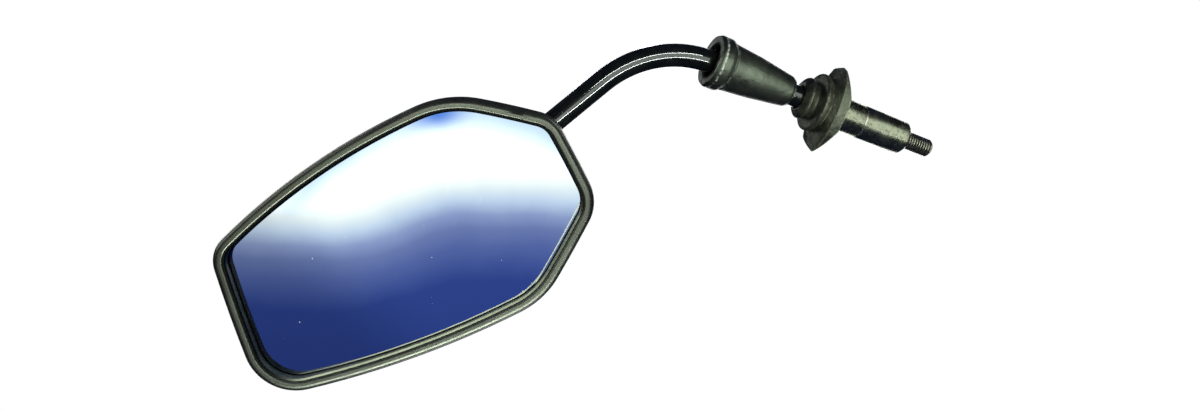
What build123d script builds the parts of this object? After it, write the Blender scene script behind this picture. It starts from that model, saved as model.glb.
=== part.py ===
"""Left-hand motorcycle mirror on a bent steel stem, in millimetres.

The origin is the centre of the shoulder that clamps on the machine. +Z runs up the stud's axis,
the stem bends towards -X, and the glass faces the rider, roughly along -Y.
"""
import os
from math import cos, radians, sin, sqrt, tan

from build123d import *

# Mounting adapter: turned steel, male stud below, threaded bore above
stud_diameter = 8.0
stud_length = 14.0
stud_chamfer = 1.0
spacer_diameter = 15.0
spacer_length = 40.5
spacer_chamfer = 1.6
bore_depth = 20.0
drill_point = 2.5
foot_gap = 1.0

# Stem: one bent round rod with a forged ball
rod_diameter = 10.0
rod_end_chamfer = 1.0
bend_start = 99.0
bend_radius = 48.0
bend_angle = 60.0
upper_run = 50.0
ball_diameter = 16.0
ball_flat = 0.7
neck_diameter = 8.4
neck_length = 12.0
neck_taper = 4.0
swivel_clearance = 0.05
thread_clearance = 0.05

# Lock washer and thin lock nut on the stem's lower thread
washer_thickness = 1.6
washer_width = 2.8
washer_slit = 1.2
nut_across_flats = 16.0
nut_height = 4.5
nut_chamfer = 0.8
nut_washer_gap = 0.05

# Rubber grommet: base flange and two folds moulded in one
grommet_overlap = 3.2
flange_centre = -0.6
flange_half_length = 21.4
flange_half_width = 13.4
flange_edge = 4.4
flange_flat_inner = 17.7
flange_flat_inner_turn = 163.7
flange_flat_outer = 18.3
flange_flat_outer_turn = 12.5
flange_rise_outer = 4.4
flange_rise_inner = 3.7
flare_height = 7.3
grommet_grip = 2.9
grommet_wall = 1.7
valley_radius = 11.1
fold_edge_radius = 12.8
fold_edge_height = 8.8
fold_radius = 13.1
fold_shift = 0.5
fold_height = 10.7
collar_radius = 8.4
collar_height = 14.1
lip_radius = 6.5
lip_height = 18.3
lip_gap = 0.6
nut_room = 0.6
fold_lead = 0.4

# Conical rubber boot on the stem, open towards the mirror
boot_bottom = 60.5
boot_length = 39.5
boot_small_radius = 7.0
boot_large_radius = 10.5
boot_collar_radius = 11.7
boot_collar_length = 7.2
boot_wall = 1.9
boot_grip = 8.0
boot_round = 1.5
boot_neck = 0.4
boot_lean = 0.5
boot_shift = 0.5
boot_swell = 0.4
boot_swell_share = 0.45

# Head: how the glass is turned about the ball
glass_turn = 0.0
glass_tilt = 11.4
glass_roll = -54.2
rim_height = 22.0
ball_offset_u = 48.0
ball_offset_v = 19.0

# Head outline about its own centre: u, v, corner radius, bulge of the edge that follows
outline_corners = [
    (-80.6, 13.6, 13.5, 6.3),
    (30.1, 52.7, 44.0, 0.6),
    (70.3, 32.9, 14.2, 0.4),
    (79.3, -5.7, 17.5, 0.4),
    (47.6, -39.9, 38.0, 5.0),
    (-77.8, -52.3, 21.5, 0.9),
]

# Back shell: moulded rim and dome
crown_width = 4.3
crown_outer_round = 2.4
crown_inner_round = 1.0
rim_band = 4.0
seat_depth = 11.5
seat_ledge = 0.5
shell_depth = 37.0
dome_fullness = 0.7
dome_angles = (0, 20, 38, 55, 69, 79, 86)
dome_centre_u = 20.0
dome_centre_v = 6.0
shell_wall = 2.6
rib_thickness = 2.0
rib_reach = 8.4
rib_stations = (0.05, 0.12, 0.19, 0.26, 0.56, 0.64, 0.72, 0.80, 0.88, 0.95)

# Ball socket and its spring clamp
cup_clearance = 0.05
cup_wall = 1.25
cup_parting = 1.2
socket_clearance = 0.08
socket_wall = 3.0
socket_parting = 1.0
tilt_limit = 10.0
swing_limit = 10.0
stem_clearance = 0.6
clamp_thickness = 1.5
clamp_brim = 3.0
clamp_ear_width = 8.0
screw_spacing = 33.0
screw_diameter = 3.2
screw_head_diameter = 6.6
screw_head_height = 2.2
screw_length = 14.0
screw_tip_share = 0.4
screw_edge_share = 0.4
screw_recess_depth = 1.2
screw_recess_width = 0.9
pillar_radius = 3.6
pillar_gap = 0.6
pilot_clearance = 0.05
pilot_reserve = 0.5
screw_play = 0.2
disc_thickness = 0.6
disc_rise = 0.5
disc_radius = 3.6
disc_gap = 0.02

# Glass and what carries it
glass_curve_radius = 1400.0
glass_recess = 3.9
glass_thickness = 2.0
glass_edge_round = 0.4
pad_thickness = 1.0
pad_inset = 7.4
carrier_thickness = 2.0
carrier_clearance = 0.1
carrier_skirt = 1.8
seal_clearance = 0.05
seal_width = 0.95
seal_front = 0.7
seal_bevel = 0.7
carrier_post_radius = 3.2
carrier_post_places = [(-62.0, 0.0), (-58.0, -37.0), (14.0, 36.0), (34.0, -30.0)]
carrier_screw_diameter = 2.6
carrier_screw_head = 4.6
carrier_screw_length = 11.0
carrier_screw_sink = 0.15

# Worked out from the sizes above
rod_radius = rod_diameter / 2
ball_radius = ball_diameter / 2
spacer_radius = spacer_diameter / 2
stem_end = spacer_length - bore_depth + foot_gap
flange_bottom = spacer_length - grommet_overlap
washer_bottom = spacer_length + swivel_clearance
nut_bottom = washer_bottom + washer_thickness + nut_washer_gap
nut_corner = nut_across_flats / sqrt(3)
cup_inner = ball_radius + cup_clearance
cup_outer = cup_inner + cup_wall
socket_radius = cup_outer + socket_clearance
glass_inset = crown_width + seal_clearance + seal_width + carrier_clearance
carrier_front = glass_thickness + pad_thickness
disc_top = socket_parting + clamp_thickness + disc_rise + disc_thickness + disc_gap
mouth_slope = tilt_limit + swing_limit / 2
bend = radians(bend_angle)

# Places of the bend and the ball in the part's frame
bend_middle = Vector(-bend_radius * (1 - cos(bend / 2)), 0, bend_start + bend_radius * sin(bend / 2))
bend_end = Vector(-bend_radius * (1 - cos(bend)), 0, bend_start + bend_radius * sin(bend))
stem_direction = Vector(-sin(bend), 0, cos(bend))
ball_centre = bend_end + stem_direction * upper_run

# Head frame: w out of the glass, u along the head towards the stem, v across it
turn = radians(glass_turn)
tilt = radians(glass_tilt)
roll = radians(glass_roll)
level = Vector(cos(turn), sin(turn), 0)
normal = Vector(sin(turn) * cos(tilt), -cos(turn) * cos(tilt), sin(tilt))
rise = normal.cross(level)
along = level * cos(roll) + rise * sin(roll)
head = Plane(origin=ball_centre, x_dir=along, z_dir=normal)

# The stem as it leaves the ball, seen in the head frame
leave = stem_direction * -1
stem_out = Vector(leave.dot(head.x_dir), leave.dot(head.y_dir), leave.dot(head.z_dir))
across = Vector(-stem_out.Y, stem_out.X, 0).normalized()
centre_u = -ball_offset_u
centre_v = -ball_offset_v
standing = (Align.CENTER, Align.CENTER, Align.MIN)
hanging = (Align.CENTER, Align.CENTER, Align.MAX)


def save(shape, name):
    export_step(shape, f"parts/{name}.step")


def turned(points):
    """Solid of revolution about Z from (radius, height) points."""
    return revolve(make_face(Polyline([(r, 0, z) for r, z in points], close=True)), Axis.Z)


def head_outline():
    """Rim outline in the head frame, one bulged edge between corners and a round at each corner."""
    points = [Vector(u + centre_u, v + centre_v) for u, v, _, _ in outline_corners]
    edges = []
    for index, (_, _, _, bulge) in enumerate(outline_corners):
        start = points[index]
        end = points[(index + 1) % len(points)]
        run = (end - start).normalized()
        middle = (start + end) * 0.5 + Vector(-run.Y, run.X) * bulge
        edges.append(ThreePointArc(start, middle, end))
    face = make_face(edges)
    for point, (_, _, radius, _) in zip(points, outline_corners):
        corner = face.vertices().sort_by_distance(point)[0]
        face = fillet(corner, radius)
    return face


outline = head_outline()


def inset_outline(inset):
    """The rim outline drawn in by an even margin, arc for arc."""
    arcs = outline.wire().order_edges()
    drawn = []
    for arc in arcs:
        points = []
        for share in (0, 0.5, 1):
            point = arc.position_at(share)
            run = arc.tangent_at(share)
            inward = Vector(-run.Y, run.X)
            if inward.dot(outline.center() - point) < 0:
                inward = inward * -1
            points.append(point + inward * inset)
        drawn.append(points)
    starts = [points[0] for points in drawn]
    edges = []
    for index, points in enumerate(drawn):
        edges.append(ThreePointArc(starts[index], points[1], starts[(index + 1) % len(starts)]))
    return make_face(edges)


def plate(face, top, thickness):
    """Straight block under an outline; top is measured down from the rim's front plane."""
    return extrude(Pos(0, 0, rim_height - top) * face, amount=-thickness)


def dome(base, start, depth):
    """Full-bodied bowl behind an outline, from scaled copies of it set ever deeper behind the rim."""
    place = Pos(centre_u + dome_centre_u, centre_v + dome_centre_v, rim_height - start)
    flat = Pos(-centre_u - dome_centre_u, -centre_v - dome_centre_v) * base
    sections = []
    for angle in dome_angles:
        share = cos(radians(angle)) ** dome_fullness
        drop = (depth - start) * sin(radians(angle))
        sections.append(place * Pos(0, 0, -drop) * scale(flat, by=share))
    return loft(sections)


def glass_ball(depth):
    """Big sphere whose crown lies a given depth behind the rim's front plane."""
    radius = glass_curve_radius - depth
    centre = Pos(centre_u, centre_v, rim_height - glass_recess - glass_curve_radius)
    return centre * Rot(90, 0, 0) * Sphere(radius)


def curved_plate(inset, depth, thickness):
    """Sheet of even thickness that follows the glass curve."""
    block = plate(inset_outline(inset), 0, seat_depth)
    return (block & glass_ball(depth)) - glass_ball(depth + thickness)


def mouth():
    """Flared way out for the stem, wide enough at every tilt and swing."""
    reach = ball_offset_u
    start = rod_radius + stem_clearance
    end = start + reach * tan(radians(mouth_slope))
    cone = Cone(start, end, reach, align=standing)
    return Plane(origin=(0, 0, 0), z_dir=stem_out) * cone


def screw_places():
    return [across * (side * screw_spacing / 2) for side in (1, -1)]


def mount_adapter():
    stud = stud_diameter / 2
    bore = rod_radius + swivel_clearance
    bore_floor = spacer_length - bore_depth
    body = turned([
        (0, -stud_length),
        (stud - stud_chamfer, -stud_length),
        (stud, stud_chamfer - stud_length),
        (stud, 0),
        (spacer_radius - spacer_chamfer, 0),
        (spacer_radius, spacer_chamfer),
        (spacer_radius, spacer_length),
        (bore, spacer_length),
        (bore, bore_floor),
        (0, bore_floor - drill_point),
    ])
    return body


def base_grommet():
    """Oval saddle flange, bell and two folds round the stem's foot, hollow where the lock nut sits."""
    nut_top = nut_bottom + nut_height + nut_room - flange_bottom
    room = nut_corner + nut_room
    lip_inner = rod_radius + lip_gap
    neck_inner = collar_radius - fold_lead - grommet_wall
    neck_height = (fold_height + collar_height) / 2 + fold_lead
    oval = Pos(flange_centre, 0) * Ellipse(flange_half_length, flange_half_width)
    flange = extrude(oval, flange_edge)
    bell = loft([Pos(0, 0, flange_edge) * oval, Pos(fold_shift, 0, flare_height) * Circle(valley_radius)])
    outside = Spline(
        (fold_edge_radius, 0, fold_edge_height),
        (fold_radius, 0, fold_height),
        (collar_radius - fold_lead, 0, neck_height),
        (collar_radius, 0, collar_height),
        (lip_radius, 0, lip_height),
        tangents=[(0.5, 0, 1), (-1, 0, 0.6)],
    )
    rest = Polyline(
        (lip_radius, 0, lip_height),
        (0, 0, lip_height),
        (0, 0, flare_height),
        (valley_radius, 0, flare_height),
        (fold_edge_radius, 0, fold_edge_height),
    )
    folds = Pos(fold_shift, 0, 0) * revolve(make_face(outside + rest), Axis.Z)
    hollow = turned([
        (0, 0),
        (spacer_radius, 0),
        (spacer_radius, grommet_grip),
        (room, grommet_grip),
        (room, nut_top),
        (neck_inner, neck_height),
        (neck_inner, collar_height),
        (lip_inner, lip_height - grommet_wall / 2),
        (lip_inner, lip_height),
        (0, lip_height),
    ])
    span = 2 * flange_half_length
    trim = Box(span, span * 2, span * 4, align=(Align.MIN, Align.CENTER, Align.CENTER))
    grommet = flange + bell + folds - hollow
    for turned_by, flat in (
        (flange_flat_outer_turn, flange_flat_outer),
        (flange_flat_inner_turn, flange_flat_inner),
    ):
        grommet -= Rot(0, 0, turned_by) * Pos(flat, 0, 0) * trim
    for end, rise in ((flange_flat_outer, flange_rise_outer), (-flange_flat_inner, flange_rise_inner)):
        foot = spacer_radius if end > 0 else -spacer_radius
        reach = span if end > 0 else -span
        drop = rise * (reach - foot) / (end - foot)
        wedge = Polyline((foot, 0, 0), (reach, 0, drop), (reach, 0, 0), close=True)
        grommet -= extrude(make_face(wedge), span, both=True)
    return Pos(0, 0, flange_bottom) * grommet


def lock_washer():
    inner = rod_radius + thread_clearance
    ring = turned([
        (inner, washer_bottom),
        (inner + washer_width, washer_bottom),
        (inner + washer_width, washer_bottom + washer_thickness),
        (inner, washer_bottom + washer_thickness),
    ])
    slit = Pos(spacer_diameter / 2, 0, 0) * Box(spacer_diameter, washer_slit, spacer_length * 4)
    return ring - slit


def lock_nut():
    hexagon = extrude(RegularPolygon(nut_across_flats / 2, 6, major_radius=False), nut_height)
    rounded = turned([
        (0, 0),
        (nut_across_flats / 2, 0),
        (nut_corner, nut_chamfer / 2),
        (nut_corner, nut_height - nut_chamfer / 2),
        (nut_across_flats / 2, nut_height),
        (0, nut_height),
    ])
    bore = Cylinder(rod_radius + thread_clearance, nut_height * 3)
    return Pos(0, 0, nut_bottom) * ((hexagon & rounded) - bore)


def stem_rod():
    """Bent rod, chamfered foot, waisted neck and forged ball."""
    straight_end = bend_end + stem_direction * (upper_run - neck_length - neck_taper)
    path = Line((0, 0, stem_end + rod_end_chamfer), (0, 0, bend_start))
    path += ThreePointArc((0, 0, bend_start), bend_middle, bend_end)
    path += Line(bend_end, straight_end)
    rod = sweep(Pos(0, 0, stem_end + rod_end_chamfer) * Circle(rod_radius), path)
    tip = rod_radius - rod_end_chamfer
    foot = Pos(0, 0, stem_end) * Cone(tip, rod_radius, rod_end_chamfer, align=standing)
    neck_radius = neck_diameter / 2
    joint = ball_radius ** 2 - neck_radius ** 2
    flat_height = ball_radius - ball_flat
    flat_radius = sqrt(ball_radius ** 2 - flat_height ** 2)
    profile = Polyline(
        (0, 0, -neck_length - neck_taper),
        (rod_radius, 0, -neck_length - neck_taper),
        (neck_radius, 0, -neck_length),
        (neck_radius, 0, -sqrt(joint)),
    )
    profile += ThreePointArc(
        (neck_radius, 0, -sqrt(joint)),
        (ball_radius, 0, 0),
        (flat_radius, 0, flat_height),
    )
    profile += Polyline(
        (flat_radius, 0, flat_height),
        (0, 0, flat_height),
        (0, 0, -neck_length - neck_taper),
    )
    ball = revolve(make_face(profile), Axis.Z)
    return rod + foot + Plane(origin=ball_centre, x_dir=(0, 1, 0), z_dir=stem_direction) * ball


def stem_boot():
    """Tapered sleeve that grips the rod at its narrow end and stands open, a little askew, at its collar."""
    collar = boot_length - boot_collar_length
    swell_height = boot_length * boot_swell_share
    taper = (boot_large_radius - boot_small_radius) / collar
    swell_radius = boot_small_radius + taper * swell_height + boot_swell
    body = turned([
        (0, 0),
        (boot_small_radius - boot_round / 2, 0),
        (boot_small_radius, boot_round),
        (swell_radius, swell_height),
        (boot_large_radius, collar - boot_round),
        (boot_large_radius - boot_neck, collar - boot_round / 2),
        (boot_collar_radius - boot_neck, collar + boot_round / 3),
        (boot_collar_radius, collar + boot_round),
        (boot_collar_radius, boot_length - boot_round),
        (boot_collar_radius - boot_round / 2, boot_length),
        (boot_collar_radius - boot_wall, boot_length),
        (boot_large_radius - boot_wall, collar - boot_round),
        (rod_radius + boot_shift + boot_neck, boot_grip),
        (0, boot_grip),
    ])
    bore = Cylinder(rod_radius, boot_length)
    return Pos(0, 0, boot_bottom) * (Pos(boot_shift, 0, 0) * Rot(0, boot_lean, 0) * body - bore)


def ball_cup(side):
    """Moulded cup round one half of the ball; side is 1 for the front, -1 for the rear."""
    shell = Sphere(cup_outer) - Sphere(cup_inner)
    reach = cup_outer * 2
    half = Box(reach * 2, reach * 2, reach, align=standing if side > 0 else hanging)
    return (shell & (Pos(0, 0, side * cup_parting) * half)) - mouth()


def back_shell():
    ring = plate(inset_outline(0), 0, rim_band) - plate(inset_outline(crown_width), 0, rim_band)
    front = ring.faces().sort_by(Axis.Z)[-1]
    ring = fillet(front.outer_wire().edges(), crown_outer_round)
    front = ring.faces().filter_by(GeomType.PLANE).sort_by(Axis.Z)[-1]
    ring = fillet(front.inner_wires()[0].edges(), crown_inner_round)
    outside = dome(inset_outline(0), rim_band, shell_depth)
    inside = dome(inset_outline(crown_width + seat_ledge), rim_band, shell_depth - shell_wall)
    recess = plate(inset_outline(crown_width), 0, seat_depth)
    shell = ring + (outside - (inside + recess))
    boss = Cylinder(socket_radius + socket_wall, shell_depth * 2, align=hanging)
    pillar = Cylinder(pillar_radius, shell_depth * 2, align=hanging)
    post = Cylinder(carrier_post_radius, shell_depth * 2, align=hanging)
    rib = Box(rib_thickness, rib_reach * 2, shell_depth, align=hanging)
    supports = Pos(0, 0, -socket_parting) * boss
    for place in screw_places():
        supports += Pos(place.X, place.Y, socket_parting - pillar_gap) * pillar
    for u, v in carrier_post_places:
        supports += Pos(u + centre_u, v + centre_v, rim_height - seat_depth) * post
    wire = outline.wire()
    for station in rib_stations:
        point = wire.position_at(station)
        run = wire.tangent_at(station)
        spot = Plane(origin=(point.X, point.Y, rim_height - seat_depth), x_dir=run, z_dir=(0, 0, 1))
        supports += spot * rib
    shell += supports & outside
    shell -= Sphere(socket_radius)
    shell -= mouth()
    pilot = Cylinder(screw_diameter / 2 + pilot_clearance, screw_length + pilot_reserve, align=hanging)
    for place in screw_places():
        shell -= Pos(place.X, place.Y, disc_top) * pilot
    shank = carrier_screw_diameter / 2 + pilot_clearance
    pilot = Cylinder(shank, carrier_screw_length + pilot_reserve, align=hanging)
    for u, v in carrier_post_places:
        level = glass_level(u, v, carrier_front) - carrier_screw_sink
        shell -= Pos(u + centre_u, v + centre_v, level) * pilot
    return shell


def clamp_plate():
    """Pressed cap over the front cup with an ear for each screw."""
    brim = Cylinder(socket_radius + clamp_brim, clamp_thickness, align=standing)
    ears = extrude(SlotCenterToCenter(screw_spacing, clamp_ear_width), clamp_thickness)
    strap = Plane(origin=(0, 0, 0), x_dir=across, z_dir=(0, 0, 1)) * ears
    reach = socket_radius * 2
    front = Box(reach * 2, reach * 2, reach, align=standing)
    low = Pos(0, 0, socket_parting)
    cap = Sphere(socket_radius + clamp_thickness) & (low * front)
    clamp = cap + low * brim + low * strap - Sphere(socket_radius) - mouth()
    for place in screw_places():
        clamp -= Pos(place.X, place.Y, 0) * Cylinder(screw_diameter / 2 + screw_play, reach * 2)
    return clamp


def spring_disc():
    """Coned spring washer, its hole edge raised."""
    inner = screw_diameter / 2 + screw_play
    return turned([
        (inner, disc_rise),
        (disc_radius, 0),
        (disc_radius, disc_thickness),
        (inner, disc_rise + disc_thickness),
    ])


def disc_springs():
    """One disc under each clamp screw's head."""
    level = socket_parting + clamp_thickness
    return Compound(children=[Pos(place.X, place.Y, level) * spring_disc() for place in screw_places()])


def cross_recess(depth, width, length):
    bar = Box(length, width, depth * 2)
    return bar + Rot(0, 0, 90) * bar


def pan_screw():
    """Pan-head screw, head seat at zero and shank below."""
    shank = screw_diameter / 2
    head_radius = screw_head_diameter / 2
    edge = screw_head_height * screw_edge_share
    body = turned([
        (0, -screw_length),
        (shank * screw_tip_share, -screw_length),
        (shank, shank - screw_length),
        (shank, 0),
        (head_radius, 0),
        (head_radius, screw_head_height - edge),
        (head_radius - edge, screw_head_height),
        (0, screw_head_height),
    ])
    recess = cross_recess(screw_recess_depth, screw_recess_width, screw_diameter)
    return body - Pos(0, 0, screw_head_height) * recess


def clamp_screws():
    screw = pan_screw()
    return Compound(children=[Pos(place.X, place.Y, disc_top) * screw for place in screw_places()])


def glass_level(u, v, depth):
    """Height in the head frame of the curve that lies a given depth behind the glass front."""
    radius = glass_curve_radius - depth
    return rim_height - glass_recess - glass_curve_radius + sqrt(radius ** 2 - u ** 2 - v ** 2)


def carrier_screw():
    """Countersunk screw, top of the head at zero."""
    shank = carrier_screw_diameter / 2
    head_radius = carrier_screw_head / 2
    cone = head_radius - shank
    body = turned([
        (0, -carrier_screw_length),
        (shank * screw_tip_share, -carrier_screw_length),
        (shank, shank - carrier_screw_length),
        (shank, -cone),
        (head_radius, 0),
        (0, 0),
    ])
    return body


def carrier_screws():
    screws = []
    for u, v in carrier_post_places:
        level = glass_level(u, v, carrier_front) - carrier_screw_sink
        screws.append(Pos(u + centre_u, v + centre_v, level) * carrier_screw())
    return Compound(children=screws)


def glass_carrier():
    """Curved plate with a skirt that stands on the shell's ribs and a boss over each post."""
    skirt = plate(inset_outline(glass_inset), 0, seat_depth)
    skirt -= plate(inset_outline(glass_inset + carrier_skirt), 0, seat_depth)
    bosses = skirt
    for u, v in carrier_post_places:
        boss = Cylinder(carrier_post_radius, seat_depth, align=standing)
        bosses += Pos(u + centre_u, v + centre_v, rim_height - seat_depth) * boss
    carrier = curved_plate(glass_inset, carrier_front, carrier_thickness)
    carrier += bosses & glass_ball(carrier_front + carrier_thickness / 2)
    for u, v in carrier_post_places:
        level = glass_level(u, v, carrier_front) - carrier_screw_sink
        shank = carrier_screw_diameter / 2 + pilot_clearance
        sink = carrier_screw_head / 2 + pilot_clearance
        hole = Cylinder(shank, seat_depth * 4)
        flare = Cone(shank, sink, sink - shank, align=hanging)
        room = Cylinder(sink, seat_depth, align=standing)
        carrier -= Pos(u + centre_u, v + centre_v, level) * (hole + flare + room)
    return carrier


def mirror_glass():
    glass = curved_plate(glass_inset, 0, glass_thickness)
    front = glass.faces().sort_by(Axis.Z)[-1]
    return chamfer(front.outer_wire().edges(), glass_edge_round)


def glass_seal():
    """Soft ring between the rim's crown and the glass, bevelled towards the glass."""
    outer = crown_width + seal_clearance
    depth = seat_depth - seal_front
    ring = plate(inset_outline(outer), seal_front, depth)
    ring -= plate(inset_outline(outer + seal_width), seal_front, depth)
    front = ring.faces().sort_by(Axis.Z)[-1]
    return chamfer(front.inner_wires()[0].edges(), seal_bevel)


def build():
    os.makedirs("parts", exist_ok=True)
    save(mount_adapter(), "mount_adapter")
    save(base_grommet(), "base_grommet")
    save(lock_washer(), "lock_washer")
    save(lock_nut(), "lock_nut")
    save(stem_rod(), "stem_rod")
    save(stem_boot(), "stem_boot")
    save(head * ball_cup(-1), "ball_cup_rear")
    save(head * ball_cup(1), "ball_cup_front")
    save(head * back_shell(), "back_shell")
    save(head * clamp_plate(), "clamp_plate")
    save(head * disc_springs(), "disc_springs")
    save(head * clamp_screws(), "clamp_screws")
    save(head * glass_carrier(), "glass_carrier")
    save(head * carrier_screws(), "carrier_screws")
    save(head * curved_plate(pad_inset, glass_thickness, pad_thickness), "glass_pad")
    save(head * mirror_glass(), "mirror_glass")
    save(head * glass_seal(), "glass_seal")


build()
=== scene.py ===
import math

import bmesh
import bpy
from mathutils import Matrix, Vector


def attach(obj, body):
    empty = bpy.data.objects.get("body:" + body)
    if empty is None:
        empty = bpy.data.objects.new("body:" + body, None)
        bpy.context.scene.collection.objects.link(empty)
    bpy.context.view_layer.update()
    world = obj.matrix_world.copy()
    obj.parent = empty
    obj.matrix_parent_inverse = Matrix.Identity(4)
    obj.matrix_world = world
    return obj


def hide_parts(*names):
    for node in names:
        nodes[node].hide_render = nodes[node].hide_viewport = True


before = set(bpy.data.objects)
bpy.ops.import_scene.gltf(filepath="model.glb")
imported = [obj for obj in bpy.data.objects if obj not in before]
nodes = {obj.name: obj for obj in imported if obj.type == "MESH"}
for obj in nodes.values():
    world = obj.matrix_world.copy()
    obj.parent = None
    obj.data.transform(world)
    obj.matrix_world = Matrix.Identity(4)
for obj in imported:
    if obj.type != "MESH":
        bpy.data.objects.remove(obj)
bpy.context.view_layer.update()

mm = 0.001
floatSocket = "NodeSocketFloat"
colourSocket = "NodeSocketColor"
print("frame loaded:", len(nodes), "nodes")


def setInput(tree, socket, value):
    if isinstance(value, bpy.types.NodeSocket):
        tree.links.new(value, socket)
    else:
        socket.default_value = value


def addNode(tree, kind, inputs=None, **settings):
    node = tree.nodes.new(kind)
    for key, value in settings.items():
        setattr(node, key, value)
    for key, value in (inputs or {}).items():
        setInput(tree, node.inputs[key], value)
    return node


def newGroup(name, inputs, outputs):
    tree = bpy.data.node_groups.new(name, "ShaderNodeTree")
    for label, value in inputs.items():
        kind = floatSocket if isinstance(value, float) else colourSocket
        socket = tree.interface.new_socket(label, in_out="INPUT", socket_type=kind)
        socket.default_value = value
    for label, kind in outputs.items():
        tree.interface.new_socket(label, in_out="OUTPUT", socket_type=kind)
    given = tree.nodes.new("NodeGroupInput").outputs
    made = tree.nodes.new("NodeGroupOutput").inputs
    return tree, given, made


def mathNode(tree, operation, first, second=0.0, clamp=False):
    inputs = {0: first, 1: second}
    return addNode(tree, "ShaderNodeMath", inputs, operation=operation, use_clamp=clamp).outputs[0]


def times(tree, first, second):
    return mathNode(tree, "MULTIPLY", first, second)


def vectorNode(tree, operation, first, second=None):
    inputs = {0: first} if second is None else {0: first, 1: second}
    return addNode(tree, "ShaderNodeVectorMath", inputs, operation=operation).outputs


def mapRange(tree, value, low, high, toLow=0.0, toHigh=1.0, smooth=True):
    kind = "SMOOTHSTEP" if smooth else "LINEAR"
    inputs = {"Value": value, "From Min": low, "From Max": high, "To Min": toLow, "To Max": toHigh}
    return addNode(tree, "ShaderNodeMapRange", inputs, interpolation_type=kind).outputs["Result"]


def mixColour(tree, factor, first, second):
    inputs = {0: factor, 6: first, 7: second}  # the sockets that a colour mix uses
    return addNode(tree, "ShaderNodeMix", inputs, data_type="RGBA").outputs[2]


def noiseNode(tree, place, scale, detail, **others):
    inputs = {"Vector": place, "Scale": scale, "Detail": detail, **others}
    return addNode(tree, "ShaderNodeTexNoise", inputs).outputs["Fac"]


def objectCoords(tree):
    return addNode(tree, "ShaderNodeTexCoord").outputs["Object"]


def splitCoords(tree, place):
    return addNode(tree, "ShaderNodeSeparateXYZ", {"Vector": place}).outputs


# distance from the origin in the plane of two values
def flatReach(tree, first, second):
    spot = addNode(tree, "ShaderNodeCombineXYZ", {"X": first, "Y": second}).outputs[0]
    return vectorNode(tree, "LENGTH", spot)["Value"]


# how far a value lies from a level, without its sign
def offLevel(tree, value, level):
    return mathNode(tree, "ABSOLUTE", mathNode(tree, "SUBTRACT", value, level))


def rgb(red, green, blue):
    return (red, green, blue, 1.0)


# fine moulded grain: rounded pips over a soft noise
grainGroup = {"scale": 2400.0, "pipShare": 0.6, "detail": 3.0, "fleckBand": (0.56, 0.72)}


def makeMouldGrain(values):
    tree, given, made = newGroup("mouldGrain", {"Scale": values["scale"]},
                                 {"Height": floatSocket, "Fleck": floatSocket})
    place = objectCoords(tree)
    pips = addNode(tree, "ShaderNodeTexVoronoi", {"Vector": place, "Scale": given["Scale"]},
                   feature="SMOOTH_F1").outputs["Distance"]
    soft = noiseNode(tree, place, given["Scale"], values["detail"])
    height = mathNode(tree, "ADD", times(tree, pips, values["pipShare"]), soft)
    tree.links.new(height, made["Height"])
    tree.links.new(mapRange(tree, soft, *values["fleckBand"]), made["Fleck"])
    return tree


# slow drift between two tones
driftGroup = {"tone": rgb(0.04, 0.04, 0.04), "other": rgb(0.07, 0.07, 0.06), "scale": 60.0,
              "detail": 6.0, "roughness": 0.62, "band": (0.32, 0.70)}


def makeToneDrift(values):
    inputs = {"Tone": values["tone"], "Other": values["other"], "Scale": values["scale"]}
    tree, given, made = newGroup("toneDrift", inputs, {"Color": colourSocket, "Value": floatSocket})
    noise = noiseNode(tree, objectCoords(tree), given["Scale"], values["detail"],
                      Roughness=values["roughness"])
    share = mapRange(tree, noise, *values["band"])
    tree.links.new(mixColour(tree, share, given["Tone"], given["Other"]), made["Color"])
    tree.links.new(share, made["Value"])
    return tree


# pale rub along edges, broken up by noise: wear, and on the grommet's folds and the steel's edges
# partly a painted highlight
rubAndSheenGroup = {"width": 0.0008, "patch": 300.0, "samples": 6, "edgeBand": (0.985, 0.86),
            "detail": 5.0, "gaps": (0.38, 0.60)}


def makeEdgeRubAndSheen(values):
    inputs = {"Width": values["width"], "Patch": values["patch"]}
    tree, given, made = newGroup("edgeRubAndSheen", inputs, {"Mask": floatSocket})
    softened = addNode(tree, "ShaderNodeBevel", {"Radius": given["Width"]},
                       samples=values["samples"]).outputs["Normal"]
    flat = addNode(tree, "ShaderNodeNewGeometry").outputs["Normal"]
    same = vectorNode(tree, "DOT_PRODUCT", softened, flat)["Value"]
    edge = mapRange(tree, same, *values["edgeBand"])
    noise = noiseNode(tree, objectCoords(tree), given["Patch"], values["detail"])
    tree.links.new(times(tree, edge, mapRange(tree, noise, *values["gaps"])), made["Mask"])
    return tree


# scattered dust specks, each in its own cell
dustGroup = {"scale": 260.0, "amount": 0.06, "largest": 0.13}


def makeDustSpecks(values):
    inputs = {"Scale": values["scale"], "Amount": values["amount"]}
    tree, given, made = newGroup("dustSpecks", inputs, {"Mask": floatSocket})
    cells = addNode(tree, "ShaderNodeTexVoronoi",
                    {"Vector": objectCoords(tree), "Scale": given["Scale"]}).outputs
    pick = addNode(tree, "ShaderNodeSeparateColor", {"Color": cells["Color"]}).outputs
    chosen = mathNode(tree, "LESS_THAN", pick["Red"], given["Amount"])
    size = times(tree, pick["Green"], values["largest"])
    speck = mathNode(tree, "LESS_THAN", cells["Distance"], size)
    tree.links.new(times(tree, chosen, speck), made["Mask"])
    return tree


# hairline scratches in two directions, each with its turn and its stretch
hairGroup = {"scale": 40.0, "amount": 0.5, "runs": ((0.5, 9.0), (-1.1, 13.0)),
             "tilt": (0.4, 1.0, 0.7), "detail": 2.0, "middle": 0.5, "half": 0.006,
             "gateScale": 130.0, "gateBand": (0.45, 0.62)}


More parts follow.
